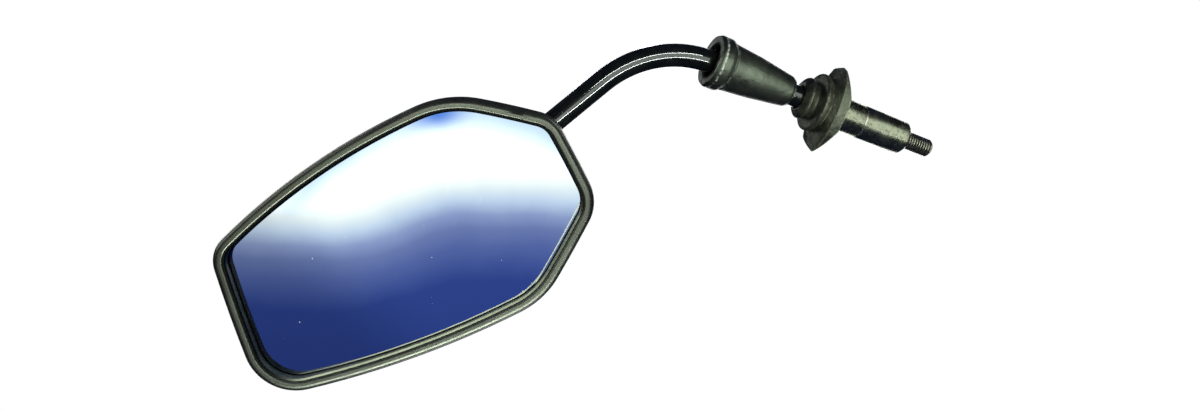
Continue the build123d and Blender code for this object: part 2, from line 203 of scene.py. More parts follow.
def makeHairScratches(values):
    inputs = {"Scale": values["scale"], "Amount": values["amount"]}
    tree, given, made = newGroup("hairScratches", inputs, {"Mask": floatSocket})
    place = objectCoords(tree)
    lines = []
    for turn, stretch in values["runs"]:
        mapping = addNode(tree, "ShaderNodeMapping",
                          {"Vector": place, "Rotation": [turn * part for part in values["tilt"]],
                           "Scale": (1.0, stretch, stretch)})
        noise = noiseNode(tree, mapping.outputs[0], given["Scale"], values["detail"])
        lines.append(mapRange(tree, offLevel(tree, noise, values["middle"]), values["half"], 0.0))
    gate = noiseNode(tree, place, values["gateScale"], values["detail"])
    both = mathNode(tree, "MAXIMUM", *lines)
    shown = times(tree, both, mapRange(tree, gate, *values["gateBand"]))
    tree.links.new(times(tree, shown, given["Amount"]), made["Mask"])
    return tree


# lathe rings along the stud's axis
turnGroup = {"scale": 5000.0, "detail": 2.0}


def makeTurnMarks(values):
    tree, given, made = newGroup("turnMarks", {"Scale": values["scale"]}, {"Height": floatSocket})
    level = splitCoords(tree, objectCoords(tree))["Z"]
    inputs = {"W": times(tree, level, given["Scale"]), "Scale": 1.0, "Detail": values["detail"]}
    noise = addNode(tree, "ShaderNodeTexNoise", inputs, noise_dimensions="1D")
    tree.links.new(noise.outputs["Fac"], made["Height"])
    return tree


# a pale line round the stem's axis at one height, broken up by noise: a scratch on the adapter, and
# a painted highlight on the boot's mouth and the adapter's chamfers
ringGroup = {"level": 0.0, "half": 0.0005, "patch": 500.0, "gaps": (0.3, 0.6), "share": 1.0,
             "core": 0.35, "detail": 4.0}


def makeBrokenRing(values):
    bare, full = values["gaps"]
    inputs = {"Level": values["level"], "Half": values["half"], "Patch": values["patch"],
              "Bare": bare, "Full": full, "Share": values["share"]}
    tree, given, made = newGroup("brokenRing", inputs, {"Mask": floatSocket})
    place = objectCoords(tree)
    away = offLevel(tree, splitCoords(tree, place)["Z"], given["Level"])
    band = mapRange(tree, away, given["Half"], times(tree, given["Half"], values["core"]))
    noise = noiseNode(tree, place, given["Patch"], values["detail"])
    shown = times(tree, band, mapRange(tree, noise, given["Bare"], given["Full"]))
    tree.links.new(times(tree, shown, given["Share"]), made["Mask"])
    return tree


mouldGrain = makeMouldGrain(grainGroup)
toneDrift = makeToneDrift(driftGroup)
edgeRubAndSheen = makeEdgeRubAndSheen(rubAndSheenGroup)
dustSpecks = makeDustSpecks(dustGroup)
hairScratches = makeHairScratches(hairGroup)
turnMarks = makeTurnMarks(turnGroup)
brokenRing = makeBrokenRing(ringGroup)
print("node groups:", len(bpy.data.node_groups))


def newMaterial(name, plain):
    material = bpy.data.materials.new(name)
    material.use_nodes = True
    shader = material.node_tree.nodes["Principled BSDF"]
    for socket, value in plain.items():
        shader.inputs[socket].default_value = value
    return material, material.node_tree, shader.inputs


def useGroup(tree, group, **inputs):
    return addNode(tree, "ShaderNodeGroup", inputs, node_tree=group).outputs


def driftOf(tree, look):
    return useGroup(tree, toneDrift, Tone=look["tone"], Other=look["other"],
                    Scale=look["driftScale"])


def hairOf(tree, look):
    return useGroup(tree, hairScratches, Scale=look["hairScale"], Amount=look["hairAmount"])["Mask"]


def rubAndSheenOf(tree, look):
    return useGroup(tree, edgeRubAndSheen, Width=look["rubWidth"], Patch=look["rubPatch"])["Mask"]


def dustOf(tree, look):
    return useGroup(tree, dustSpecks, Scale=look["dustScale"], Amount=look["dustAmount"])["Mask"]


def ringOf(tree, ring):
    bare, full = ring["gaps"]
    return useGroup(tree, brokenRing, Level=ring["level"], Half=ring["half"], Patch=ring["patch"],
                    Bare=bare, Full=full, Share=ring["share"])["Mask"]


# lays a tone over a colour where a mask is, by a share
def layTone(tree, colour, mask, share, tone):
    return mixColour(tree, times(tree, mask, share), colour, tone)


def bumpInto(tree, socket, height, distance, strength, before=None):
    inputs = {"Height": height, "Distance": distance, "Strength": strength}
    if before is not None:
        inputs["Normal"] = before
    bump = addNode(tree, "ShaderNodeBump", inputs)
    tree.links.new(bump.outputs["Normal"], socket)
    return bump.outputs["Normal"]


# grained or plain moulding: plastics and rubbers share one recipe with their own values, of which
# grain and dents are each a depth and a strength
def mouldedMaterial(name, look):
    material, tree, shader = newMaterial(name, look["plain"])
    tone = driftOf(tree, look)
    pips = useGroup(tree, mouldGrain, Scale=look["grainScale"])
    colour = layTone(tree, tone["Color"], pips["Fleck"], look["fleck"], look["fleckTone"])
    colour = layTone(tree, colour, rubAndSheenOf(tree, look), look["rubAndSheen"], look["rubAndSheenTone"])
    colour = layTone(tree, colour, dustOf(tree, look), look["dust"], look["dustTone"])
    # painted highlight along the boot mouth's outer rounding
    if "ridgeHighlight" in look:
        colour = mixColour(tree, ringOf(tree, look["ridgeHighlight"]), colour, look["ridgeHighlightTone"])
    tree.links.new(colour, shader["Base Color"])
    tree.links.new(mapRange(tree, tone["Value"], 0.0, 1.0, *look["rough"]), shader["Roughness"])
    uneven = bumpInto(tree, shader["Normal"], tone["Value"], *look["dents"])
    bumpInto(tree, shader["Normal"], pips["Height"], *look["grain"], uneven)
    return material


shellLook = {
    "plain": {"Specular IOR Level": 0.8, "Specular Tint": rgb(0.89, 1.0, 0.82)},
    "tone": rgb(0.014, 0.0155, 0.013), "other": rgb(0.024, 0.027, 0.022), "driftScale": 45.0,
    "grainScale": 2600.0, "grain": (0.0001, 0.06), "dents": (0.00005, 0.5), "rough": (0.31, 0.39),
    "fleck": 0.15, "fleckTone": rgb(0.09, 0.096, 0.08),
    "rubAndSheen": 0.16, "rubAndSheenTone": rgb(0.12, 0.13, 0.11), "rubWidth": 0.0012, "rubPatch": 240.0,
    "dust": 0.4, "dustTone": rgb(0.42, 0.43, 0.40), "dustScale": 420.0, "dustAmount": 0.03,
}
sealLook = dict(
    shellLook, plain={"Specular IOR Level": 0.4, "Specular Tint": rgb(0.88, 1.0, 0.74)},
    tone=rgb(0.004, 0.005, 0.004), other=rgb(0.008, 0.009, 0.007),
    grainScale=3000.0, grain=(0.0001, 0.1), rough=(0.38, 0.46), fleck=0.05, rubAndSheen=0.1)
bootLook = dict(
    shellLook, plain={"Specular IOR Level": 1.0, "Specular Tint": rgb(0.87, 1.0, 0.82)},
    tone=rgb(0.005, 0.006, 0.006), other=rgb(0.011, 0.0125, 0.0105), driftScale=70.0,
    grainScale=3200.0, grain=(0.0001, 0.25), dents=(0.0005, 0.5), rough=(0.36, 0.48),
    rubAndSheen=0.95, rubAndSheenTone=rgb(0.30, 0.32, 0.29), rubWidth=0.0013, rubPatch=420.0,
    # painted highlight along the mouth's outer rounding, broken up by noise
    ridgeHighlight={"level": 0.0975, "half": 0.0006, "patch": 620.0, "gaps": (0.40, 0.66), "share": 0.75},
    ridgeHighlightTone=rgb(0.62, 0.66, 0.60))
grommetLook = dict(
    shellLook, plain={"Specular IOR Level": 0.9, "Specular Tint": rgb(0.90, 1.0, 0.78)},
    tone=rgb(0.006, 0.007, 0.006), other=rgb(0.036, 0.039, 0.028), driftScale=130.0,
    # pale fold edges: wear, with a painted highlight on the folds
    grain=(0.0001, 0.4), dents=(0.0007, 0.5), rough=(0.34, 0.54),
    rubAndSheen=0.9, rubAndSheenTone=rgb(0.22, 0.225, 0.17), rubWidth=0.0013)
cupLook = dict(
    shellLook, tone=rgb(0.66, 0.65, 0.60), other=rgb(0.74, 0.73, 0.69),
    fleckTone=rgb(0.8, 0.79, 0.75), rubAndSheenTone=rgb(0.5, 0.49, 0.45), dust=0.2, rough=(0.4, 0.5))
carrierLook = dict(
    shellLook, tone=rgb(0.040, 0.040, 0.040), other=rgb(0.060, 0.060, 0.058), rough=(0.5, 0.6))
padLook = dict(
    shellLook, tone=rgb(0.09, 0.09, 0.09), other=rgb(0.14, 0.14, 0.135),
    grainScale=1500.0, grain=(0.0003, 0.06), rough=(0.8, 0.92))

shellPlastic = mouldedMaterial("shellPlastic", shellLook)
sealRubber = mouldedMaterial("sealRubber", sealLook)
bootRubber = mouldedMaterial("bootRubber", bootLook)
grommetRubber = mouldedMaterial("grommetRubber", grommetLook)
cupPlastic = mouldedMaterial("cupPlastic", cupLook)
carrierPlastic = mouldedMaterial("carrierPlastic", carrierLook)
padFoam = mouldedMaterial("padFoam", padLook)


# gloss black stem: sprayed coat with slight orange peel, hairlines and dust
stemLook = {
    "plain": {"Coat Weight": 1.0, "Coat Roughness": 0.05, "Specular IOR Level": 0.05},
    "tone": rgb(0.002, 0.0023, 0.0022), "other": rgb(0.004, 0.0045, 0.004), "driftScale": 90.0,
    "rough": (0.24, 0.36), "peelScale": 420.0, "peel": (0.00002, 0.06),
    "hairScale": 55.0, "hairAmount": 0.2, "hairTone": rgb(0.08, 0.08, 0.075), "hairRough": 0.3,
    "dust": 0.5, "dustTone": rgb(0.3, 0.3, 0.28), "dustScale": 500.0, "dustAmount": 0.04,
}


def paintedStem(look):
    material, tree, shader = newMaterial("stemPaint", look["plain"])
    tone = driftOf(tree, look)
    peel = useGroup(tree, mouldGrain, Scale=look["peelScale"])
    lines = hairOf(tree, look)
    colour = mixColour(tree, lines, tone["Color"], look["hairTone"])
    colour = layTone(tree, colour, dustOf(tree, look), look["dust"], look["dustTone"])
    tree.links.new(colour, shader["Base Color"])
    rough = mapRange(tree, tone["Value"], 0.0, 1.0, *look["rough"])
    rough = mathNode(tree, "ADD", rough, times(tree, lines, look["hairRough"]))
    tree.links.new(rough, shader["Roughness"])
    bumpInto(tree, shader["Normal"], peel["Height"], *look["peel"])
    return material


stemPaint = paintedStem(stemLook)


# turned steel: worn, with grime blots, painted shade in its thread's roots and painted highlights
# on its crests and chamfers, for the adapter, and plain plated for the fasteners
steelLook = {
    "plain": {"Specular IOR Level": 0.5}, "driftScale": 160.0, "metal": (0.97, 0.35),
    "blotScale": 700.0, "blotBand": (0.55, 0.95),
    "grimeAndShade": rgb(0.03, 0.03, 0.026), "grimeRough": 0.3,
    "turnScale": 5200.0, "turns": (0.00003, 0.5), "dents": (0.00012, 0.35),
    "hair": 0.6, "hairTone": rgb(0.62, 0.61, 0.52), "hairScale": 80.0, "hairAmount": 0.8,
    "rubAndSheen": 0.7, "rubAndSheenTone": rgb(0.66, 0.65, 0.56), "rubWidth": 0.0007, "rubPatch": 420.0,
}
adapterLook = dict(
    steelLook, tone=rgb(0.205, 0.226, 0.160), other=rgb(0.290, 0.318, 0.225), rough=(0.24, 0.33),
    # the thread's roots get painted shade and its crests a painted highlight
    grimeLevel=0.4, shadedRoot=(0.0039, 0.0035), litCrest=(0.0036, 0.00395), crestHighlightShare=0.6,
    paleScratchAndHighlight=rgb(0.74, 0.74, 0.60), rings=(
        # pale rings: a scratch line, a short scratch, then painted highlights on the shoulder's
        # chamfer and on the tip
        {"level": 0.0240, "half": 0.0004, "patch": 300.0, "gaps": (0.30, 0.56), "share": 0.85},
        {"level": 0.0129, "half": 0.0003, "patch": 200.0, "gaps": (0.50, 0.66), "share": 0.7},
        {"level": 0.0003, "half": 0.0005, "patch": 500.0, "gaps": (0.22, 0.45), "share": 0.95},
        {"level": -0.0137, "half": 0.0007, "patch": 700.0, "gaps": (0.30, 0.55), "share": 0.8}))
platedLook = dict(
    steelLook, tone=rgb(0.42, 0.42, 0.40), other=rgb(0.56, 0.56, 0.52), rough=(0.25, 0.38),
    grimeLevel=0.2)


# how far a point lies between two radii below the shoulder: the thread's roots or its crests
def threadBand(tree, band):
    parts = splitCoords(tree, objectCoords(tree))
    reach = flatReach(tree, parts["X"], parts["Y"])
    return times(tree, mapRange(tree, reach, *band), mathNode(tree, "LESS_THAN", parts["Z"], 0.0))


def steelMaterial(name, look):
    material, tree, shader = newMaterial(name, look["plain"])
    tone = driftOf(tree, look)
    blot = useGroup(tree, toneDrift, Scale=look["blotScale"])["Value"]
    marks = useGroup(tree, turnMarks, Scale=look["turnScale"])
    dark = times(tree, mapRange(tree, blot, *look["blotBand"]), look["grimeLevel"])
    # painted shade in the thread's roots, merged with the grime blots
    if "shadedRoot" in look:
        dark = mathNode(tree, "MAXIMUM", dark, threadBand(tree, look["shadedRoot"]))
    colour = mixColour(tree, dark, tone["Color"], look["grimeAndShade"])
    # painted highlight on the thread's crests
    if "litCrest" in look:
        litCrests = threadBand(tree, look["litCrest"])
        colour = layTone(tree, colour, litCrests, look["crestHighlightShare"], look["paleScratchAndHighlight"])
    # pale rings: scratches, and painted highlights on the chamfers
    for ring in look.get("rings", ()):
        colour = mixColour(tree, ringOf(tree, ring), colour, look["paleScratchAndHighlight"])
    colour = layTone(tree, colour, hairOf(tree, look), look["hair"], look["hairTone"])
    # pale edges: wear, with a painted highlight on the chamfers
    colour = layTone(tree, colour, rubAndSheenOf(tree, look), look["rubAndSheen"], look["rubAndSheenTone"])
    tree.links.new(colour, shader["Base Color"])
    rough = mapRange(tree, tone["Value"], 0.0, 1.0, *look["rough"])
    rough = mathNode(tree, "ADD", rough, times(tree, dark, look["grimeRough"]), True)
    tree.links.new(rough, shader["Roughness"])
    tree.links.new(mapRange(tree, dark, 0.0, 1.0, *look["metal"]), shader["Metallic"])
    turned = bumpInto(tree, shader["Normal"], marks["Height"], *look["turns"])
    bumpInto(tree, shader["Normal"], tone["Value"], *look["dents"], turned)
    return material


adapterSteel = steelMaterial("adapterSteel", adapterLook)
platedSteel = steelMaterial("platedSteel", platedLook)


# blue-tinted mirror coating with specks, hairlines and a dull side
mirrorLook = {
    "plain": {"Metallic": 1.0}, "tone": rgb(0.49, 0.61, 0.95), "other": rgb(0.51, 0.63, 0.96),
    "driftScale": 14.0, "rough": (0.015, 0.03), "hairScale": 14.0, "hairAmount": 0.12,
    "dustScale": 430.0, "dustAmount": 0.09, "dustRough": 0.6, "speck": rgb(0.9, 0.92, 0.95),
    "side": rgb(0.07, 0.085, 0.08), "sideRough": 0.3, "sideBand": (0.975, 0.99),
    "facing": (0.0, -0.980271, 0.197657),
}

# painted highlight along the glass's ground edge at its bottom and lower right: arcs of its outline
# in the head's plane, each with its centre and radius in mm
groundEdgeHighlight = {
    "origin": (-0.06730127, 0.0, 0.165569219), "across": (0.584958, -0.160313, -0.795062),
    "upward": (0.811064, 0.115621, 0.573417), "bottom": ((-101.9, 327.3), 399.4),
    "side": ((-482.4, 419.4), 678.6), "corner": 38.0, "inset": 6.2, "half": 0.00034, "core": 0.4,
    "top": -0.012, "fade": (-0.125, -0.070), "dim": 0.35,
    "tone": rgb(0.93, 1.0, 0.86), "rough": 0.55,
}


# centre of the rounded corner between two arcs: where both, drawn in by the corner's radius, cross
def cornerCentre(edge):
    (firstU, firstV), first = edge["bottom"]
    (secondU, secondV), second = edge["side"]
    first -= edge["corner"]
    second -= edge["corner"]
    gap = math.hypot(secondU - firstU, secondV - firstV)
    along = (first * first - second * second + gap * gap) / (2 * gap)
    off = math.sqrt(first * first - along * along)
    runU = (secondU - firstU) / gap
    runV = (secondV - firstV) / gap
    spots = [(firstU + runU * along - runV * off * side, firstV + runV * along + runU * off * side)
             for side in (1, -1)]
    return min(spots, key=lambda spot: spot[1])


# how far a point lies on the painted highlight line along the glass's ground edge
def groundEdgeHighlightLine(tree, edge):
    place = vectorNode(tree, "SUBTRACT", objectCoords(tree), edge["origin"])["Vector"]
    flatU, flatV = [vectorNode(tree, "DOT_PRODUCT", place, edge[axis])["Value"]
                    for axis in ("across", "upward")]
    corner = cornerCentre(edge)
    lines = []
    for centre, radius in (edge["bottom"], edge["side"], (corner, edge["corner"])):
        sideways = mathNode(tree, "SUBTRACT", flatU, centre[0] * mm)
        upright = mathNode(tree, "SUBTRACT", flatV, centre[1] * mm)
        reach = flatReach(tree, sideways, upright)
        away = offLevel(tree, reach, (radius - edge["inset"]) * mm)
        line = mapRange(tree, away, edge["half"], edge["half"] * edge["core"])
        if centre == corner:  # its arc ends where it meets the other two
            for (limitU, limitV), turn in ((edge["bottom"][0], 1.0), (edge["side"][0], -1.0)):
                first = times(tree, upright, (corner[0] - limitU) * turn)
                second = times(tree, sideways, (corner[1] - limitV) * turn)
                line = times(tree, line, mathNode(tree, "GREATER_THAN", first, second))
        lines.append(line)
    arcs = mathNode(tree, "MAXIMUM", mathNode(tree, "MAXIMUM", lines[0], lines[1]), lines[2])
    lower = mathNode(tree, "LESS_THAN", flatV, edge["top"])
    fade = mapRange(tree, flatU, *edge["fade"], edge["dim"], 1.0)
    return times(tree, times(tree, arcs, lower), fade)


def mirrorCoat(look, edge):
    material, tree, shader = newMaterial("mirrorCoat", look["plain"])
    tone = driftOf(tree, look)
    specks = dustOf(tree, look)
    marks = mathNode(tree, "MAXIMUM", specks, hairOf(tree, look))
    colour = mixColour(tree, marks, tone["Color"], look["speck"])
    normal = addNode(tree, "ShaderNodeTexCoord").outputs["Normal"]
    facing = vectorNode(tree, "DOT_PRODUCT", normal, look["facing"])["Value"]
    front = mapRange(tree, facing, *look["sideBand"])
    # painted highlight along the glass's lower edges
    line = groundEdgeHighlightLine(tree, edge)
    colour = mixColour(tree, line, colour, edge["tone"])
    tree.links.new(mixColour(tree, front, look["side"], colour), shader["Base Color"])
    rough = mapRange(tree, tone["Value"], 0.0, 1.0, *look["rough"])
    dull = (times(tree, specks, look["dustRough"]), times(tree, line, edge["rough"]),
            mapRange(tree, front, 0.0, 1.0, look["sideRough"], 0.0))
    for more in dull:
        rough = mathNode(tree, "ADD", rough, more, True)
    tree.links.new(rough, shader["Roughness"])
    return material


mirrorGlass = mirrorCoat(mirrorLook, groundEdgeHighlight)

finishes = {
    "back_shell": shellPlastic, "glass_seal": sealRubber, "mirror_glass": mirrorGlass,
    "glass_pad": padFoam, "glass_carrier": carrierPlastic, "carrier_screws": platedSteel,
    "clamp_plate": platedSteel, "clamp_screws": platedSteel, "disc_springs": platedSteel,
    "ball_cup_rear": cupPlastic, "ball_cup_front": cupPlastic, "stem_rod": stemPaint,
    "stem_boot": bootRubber, "lock_nut": platedSteel, "lock_washer": platedSteel,
    "mount_adapter": adapterSteel, "base_grommet": grommetRubber,
}
for name, material in finishes.items():
    nodes[name].data.materials.clear()
    nodes[name].data.materials.append(material)
print("finishes set on", len(finishes), "nodes")


def addObject(name, data):
    made = bpy.data.objects.new(name, data)
    bpy.context.scene.collection.objects.link(made)
    return made


# a ring of corners round the stem's axis, with one radius for each column
def addRing(mesh, radii, height):
    ring = []
    for column, radius in enumerate(radii):
        angle = column / len(radii) * 2 * math.pi
        reach = radius * mm
        ring.append(mesh.verts.new((reach * math.cos(angle), reach * math.sin(angle), height * mm)))
    return ring


def bridgeRings(mesh, lower, upper):
    count = len(lower)
    for column in range(count):
        after = (column + 1) % count
        mesh.faces.new((lower[column], lower[after], upper[after], upper[column]))


# closes a ring with a fan of faces to a point on the axis
def closeRing(mesh, ring, height):
    point = mesh.verts.new((0, 0, height * mm))
    for column, corner in enumerate(ring):
        mesh.faces.new((corner, ring[(column + 1) % len(ring)], point))


def finishPiece(mesh, name, material, sharpAngle):
    bmesh.ops.recalc_face_normals(mesh, faces=mesh.faces)
    data = bpy.data.meshes.new(name)
    mesh.to_mesh(data)
    mesh.free()
    data.shade_smooth()
    data.set_sharp_from_angle(angle=math.radians(sharpAngle))
    data.materials.append(material)
    return addObject(name, data)


# turned adapter with a real thread on its stud, in mm
adapterShape = {
    "stud": 4.0, "studLength": 14.0, "tipChamfer": 1.0, "pitch": 1.25, "threadDepth": 0.72,
    "crestHalf": 0.14, "flank": 0.56, "threadStep": 0.09, "stepSlack": 1e-6,
    "relief": 3.3, "reliefLength": 1.1, "runOut": 0.5, "reliefEdge": 0.3,
    "spacer": 7.5, "spacerLength": 40.5, "spacerChamfer": 1.6,
    "chamferSteps": ((0.0, 1.0), (0.12, 0.8), (0.85, 0.1), (1.15, 0.0)),
    "ringLine": 24.0, "ringSteps": ((-0.35, 0.0), (-0.15, 0.09), (0.15, 0.09), (0.35, 0.0)),
    "endBreak": 0.3, "bore": 5.05, "boreFloor": 20.5, "drillPoint": 2.5,
    "columns": 120, "sharpAngle": 32,
}


def threadRadius(shape, turn, height):
    phase = (height / shape["pitch"] - turn) % 1.0
    away = min(phase, 1.0 - phase) * 2.0  # 0 on the crest, 1 in the root
    cut = min(max((away - shape["crestHalf"]) / shape["flank"], 0.0), 1.0)
    radius = shape["stud"] - shape["threadDepth"] * cut
    tip = shape["stud"] - shape["tipChamfer"] + (height + shape["studLength"])
    fade = min(max((height + shape["reliefLength"]) / shape["runOut"], 0.0), 1.0)
    radius = radius + (shape["relief"] - radius) * fade
    return min(radius, tip)


# heights with the radii of each ring, from the stud's tip over the spacer and down the bore
def adapterRows(shape):
    count = shape["columns"]
    turns = [column / count for column in range(count)]
    rows = []
    height = -shape["studLength"]
    while height < -shape["stepSlack"]:
        rows.append((height, [threadRadius(shape, turn, height) for turn in turns]))
        height += shape["threadStep"]
    outside = shape["spacer"]
    chamfer = shape["spacerChamfer"]
    top = shape["spacerLength"]
    rim = shape["endBreak"]
    bore = shape["bore"]
    plain = [(0.0, shape["relief"]), (0.0, shape["relief"] + shape["reliefEdge"])]
    plain += [(chamfer * rise, outside - chamfer * cut) for rise, cut in shape["chamferSteps"]]
    plain += [(shape["ringLine"] + rise, outside - cut) for rise, cut in shape["ringSteps"]]
    plain += [(top - rim, outside), (top, outside - rim)]
    plain += [(top, bore + rim), (top - rim, bore), (shape["boreFloor"], bore)]
    return rows + [(height, [radius] * count) for height, radius in plain]


def makeAdapter(shape):
    mesh = bmesh.new()
    rings = [addRing(mesh, radii, height) for height, radii in adapterRows(shape)]
    closeRing(mesh, rings[0], -shape["studLength"])
    for lower, upper in zip(rings, rings[1:]):
        bridgeRings(mesh, lower, upper)
    closeRing(mesh, rings[-1], shape["boreFloor"] - shape["drillPoint"])
    return finishPiece(mesh, "turnedAdapter", adapterSteel, shape["sharpAngle"])


adapter = makeAdapter(adapterShape)
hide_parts("mount_adapter")
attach(adapter, "mount")
print("adapter:", len(adapter.data.polygons), "faces")


# rolled lip inside the boot's mouth, on the boot's slightly leaning axis: radii and heights in mm
lipShape = {
    "profile": ((9.2, 95.7), (8.4, 96.1), (7.7, 97.0), (7.3, 98.0), (7.35, 98.9), (7.7, 99.5),
                (8.3, 99.85), (9.0, 99.95), (9.75, 99.97), (9.72, 99.6)),
    "shift": 0.5, "lean": 0.5, "foot": 60.5, "columns": 96, "sharpAngle": 50,
}


def makeLip(shape):
    mesh = bmesh.new()
    rings = [addRing(mesh, [radius] * shape["columns"], height - shape["foot"])
             for radius, height in shape["profile"]]
    for lower, upper in zip(rings, rings[1:] + rings[:1]):
        bridgeRings(mesh, lower, upper)
    lean = Matrix.Rotation(math.radians(shape["lean"]), 4, "Y")
    mesh.transform(Matrix.Translation((shape["shift"] * mm, 0.0, shape["foot"] * mm)) @ lean)
    return finishPiece(mesh, "bootLip", bootRubber, shape["sharpAngle"])


bootLip = makeLip(lipShape)
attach(bootLip, "stem")
print("boot lip:", len(bootLip.data.polygons), "faces")


def placedAxes(place, right, up, back):
    return Matrix.Translation(place) @ Matrix((right, up, back)).transposed().to_4x4()


# camera: the photograph's own angle
cameraSetup = {
    "place": (0.01422, -0.49051, 0.27372), "right": (0.3727, -0.2131, -0.9032),
    "up": (0.9121, 0.2631, 0.3143), "back": (0.1707, -0.9409, 0.2924),
    "lens": 36.0, "sensor": 36.0, "clip": (0.01, 60.0),
}


def makeCamera(setup):
    data = bpy.data.cameras.new("photoCamera")
    data.lens = setup["lens"]
    data.sensor_width = setup["sensor"]
    data.clip_start, data.clip_end = setup["clip"]
    camera = addObject("photoCamera", data)
    camera.matrix_world = placedAxes(setup["place"], setup["right"], setup["up"], setup["back"])
    bpy.context.scene.camera = camera


makeCamera(cameraSetup)
across = Vector(cameraSetup["right"])
upward = Vector(cameraSetup["up"])
towards = Vector(cameraSetup["back"])
middle = Vector((-0.05, 0.0, 0.11))


# a spot by its angles from the camera's side: to the right and up, and its distance
def aimed(right, up, reach):
    side = math.radians(right)
    rise = math.radians(up)
    flat = across * math.sin(side) + towards * math.cos(side)
    return middle + (flat * math.cos(rise) + upward * math.sin(rise)) * reach


# a spot round the object: turn from the rider's side, rise over the ground, and its distance
def around(turn, rise, reach):
    side = math.radians(turn)
    up = math.radians(rise)
    flat = Vector((math.sin(side), -math.cos(side), 0.0))
    return middle + (flat * math.cos(up) + Vector((0.0, 0.0, math.sin(up)))) * reach


# soft studio light: tubes and panels, each for the pieces that it is set for
lampPieces = {
    "rod": [nodes["stem_rod"]],
    "rubber": [nodes["stem_boot"], nodes["base_grommet"], nodes["lock_nut"], nodes["lock_washer"],
               bootLip],
    "head": [nodes["back_shell"]],
    "lip": [nodes["glass_seal"]],
    "glass": [nodes["mirror_glass"]],
    "steel": [adapter],
}
photoLamps = {
    "upperTube": {"ends": ((-9, 15.6, 0.95), (40, 19, 0.83)), "width": 0.022, "power": 5.4,
                  "tone": (0.90, 1.0, 0.94), "lights": "rod"},
    "lowerTube": {"ends": ((11, -19.3, 0.95), (40, -21.5, 0.83)), "width": 0.022, "power": 4.0,
                  "tone": (0.90, 1.0, 0.94), "lights": "rod"},
    "softPanel": {"ends": ((-2, 0, 0.95), (56, 0, 0.80)), "width": 0.40, "power": 3.8,
                  "tone": (0.90, 1.0, 0.92), "lights": "rod"},
    "rubberPanel": {"ends": ((-4, -4, 0.95), (62, -4, 0.80)), "width": 0.60, "power": 8.8,
                    "tone": (0.94, 1.0, 0.88), "lights": "rubber"},
    "steelPanel": {"ends": ((10, 2, 0.95), (76, 2, 0.80)), "width": 0.56, "power": 3.4,
                   "tone": (0.97, 1.0, 0.96), "lights": "steel"},
    "steelTube": {"ends": ((10, -21, 0.95), (76, -21, 0.80)), "width": 0.045, "power": 0.9,
                  "tone": (0.97, 1.0, 0.96), "lights": "steel"},
    "rimWindow": {"ends": ((-14, -6, 1.0), (28, -6, 1.0)), "width": 0.24, "power": 4.6,
                  "tone": (0.98, 1.0, 0.94), "lights": "head", "gives": "highlight"},
    "rimFloor": {"ends": ((-26, -50, 0.85), (32, -50, 0.85)), "width": 0.24, "power": 11.5,
                 "tone": (0.98, 1.0, 0.92), "lights": "head", "gives": "highlight"},
    "lipSky": {"ends": ((-34, 58, 0.85), (-78, 16, 0.85)), "width": 0.30, "power": 24.0,
               "tone": (0.98, 1.0, 0.90), "lights": "lip", "gives": "highlight"},
    "edgeSpark": {"ends": ((-30, 36, 0.85), (20, 36, 0.85)), "width": 0.40, "power": 16.0,
                  "tone": (0.96, 1.0, 0.94), "lights": "glass"},
    "headFill": {"ends": ((-30, 35, 1.2), (30, 35, 1.2)), "width": 0.8, "power": 5.0,
                 "tone": (1.0, 1.0, 1.0), "lights": "head", "gives": "fill"},
}
roundLamps = {
    "backPanel": {"ends": ((150, -34, 0.85), (210, -34, 0.85)), "width": 0.55, "power": 3.4,
                  "tone": (1.0, 1.0, 1.0), "lights": "all"},
    "backWindow": {"ends": ((158, 42, 0.85), (202, 42, 0.85)), "width": 0.22, "power": 1.5,
                   "tone": (1.0, 1.0, 1.0), "lights": "all"},
    "backTube": {"ends": ((162, -10, 0.85), (198, -10, 0.85)), "width": 0.05, "power": 0.7,
                 "tone": (1.0, 1.0, 1.0), "lights": "rod"},
    "stemSide": {"ends": ((75, -30, 0.85), (105, -30, 0.85)), "width": 0.4, "power": 1.7,
                 "tone": (1.0, 1.0, 1.0), "lights": "head"},
    "tipSide": {"ends": ((255, -30, 0.85), (285, -30, 0.85)), "width": 0.4, "power": 1.7,
                "tone": (1.0, 1.0, 1.0), "lights": "head"},
    "topPanel": {"ends": ((270, 72, 0.85), (90, 72, 0.85)), "width": 0.35, "power": 1.4,
                 "tone": (1.0, 1.0, 1.0), "lights": "head"},
}


# the pieces that a lamp shines on
def lampReach(kind, pieces):
    group = bpy.data.collections.new(kind + "Pieces")
    for piece in pieces:
        group.objects.link(piece)
    return group


def makeLamp(name, setup, spotOf):
    start, end = [spotOf(*spot) for spot in setup["ends"]]
    data = bpy.data.lights.new(name, "AREA")
    data.shape = "RECTANGLE"
    data.size = (end - start).length
    data.size_y = setup["width"]
    data.energy = setup["power"]
    data.color = setup["tone"]
    place = (start + end) / 2
    along = (end - start).normalized()
    away = place - middle
    away = (away - along * away.dot(along)).normalized()
    lamp = addObject(name, data)
    lamp.matrix_world = placedAxes(place, along, away.cross(along), away)
    lamp.visible_camera = False
    lamp.visible_glossy = setup.get("gives") != "fill"
    lamp.visible_diffuse = setup.get("gives") != "highlight"
    if setup["lights"] in reaches:
        lamp.light_linking.receiver_collection = reaches[setup["lights"]]


reaches = {kind: lampReach(kind, pieces) for kind, pieces in lampPieces.items()}
for lamps, spotOf in ((photoLamps, aimed), (roundLamps, around)):
    for name, setup in lamps.items():
        makeLamp(name, setup, spotOf)
print("lamps:", len(photoLamps) + len(roundLamps))


